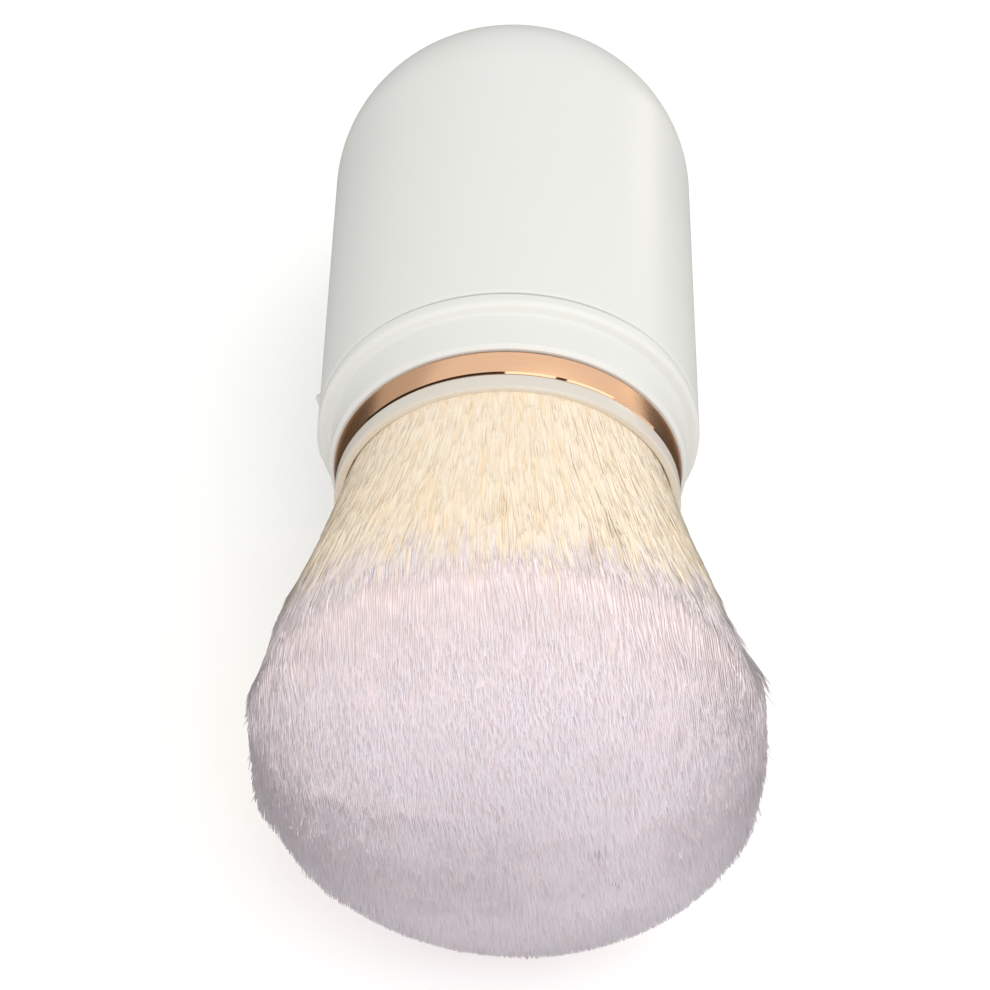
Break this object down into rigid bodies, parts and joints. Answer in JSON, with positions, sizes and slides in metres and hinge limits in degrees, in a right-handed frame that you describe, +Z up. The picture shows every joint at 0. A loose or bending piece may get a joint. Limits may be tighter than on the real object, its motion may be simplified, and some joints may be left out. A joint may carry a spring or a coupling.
{
  "type": "retractable nail brush",
  "caption": "Retractable nail dust brush: domed white body, rose gold ring, white lip and a full soft tuft that slides back by a sprung thumb button on its side.",
  "frame": {"origin": "under the middle of the brush's length, level with the flat that the tuft lies on", "axes": "+Y along the brush from the tuft to the domed end, +Z up, the button on the -X side below the middle"},
  "size_m": [0.0466, 0.1064, 0.0461],
  "materials": {
    "shell_white": "satin moulded white",
    "lip_white": "smooth milky white",
    "inner_white": "plain moulded",
    "rose_gold": "rose gold anodised, fine brushed, with a polished bevel",
    "ferrule_metal": "drawn",
    "spring_steel": "bright",
    "fibre": "soft synthetic fibre, cream at the roots and pale lavender at the tips"
  },
  "bodies": {
    "root": {"body_shell": "shell_white", "neck_collar": "shell_white", "mouth_bezel": "lip_white", "trim_ring": "rose_gold", "guide_sleeve": "inner_white"},
    "brush_carriage": {"bristles": "fibre", "ferrule": "ferrule_metal", "root_plug": "inner_white", "carriage": "inner_white", "ferrule_screw": "spring_steel", "screw_washer": "spring_steel", "button_spring": "spring_steel"},
    "thumb_button": {"slider_button": "shell_white", "latch_post": "inner_white", "latch_clip": "spring_steel"}
  },
  "joints": [
    {"name": "brush_slide", "type": "slide", "parent": "root", "child": "brush_carriage", "axis": [0, 1, 0], "range_m": [0, 0.028], "deforming": ["bristles", "latch_clip"]},
    {"name": "button_press", "type": "slide", "parent": "brush_carriage", "child": "thumb_button", "axis": [0.866, 0, 0.5], "range_m": [0, 0.0012], "stiffness_N_per_m": 800, "springref_m": -0.0006, "deforming": ["button_spring"]}
  ]
}
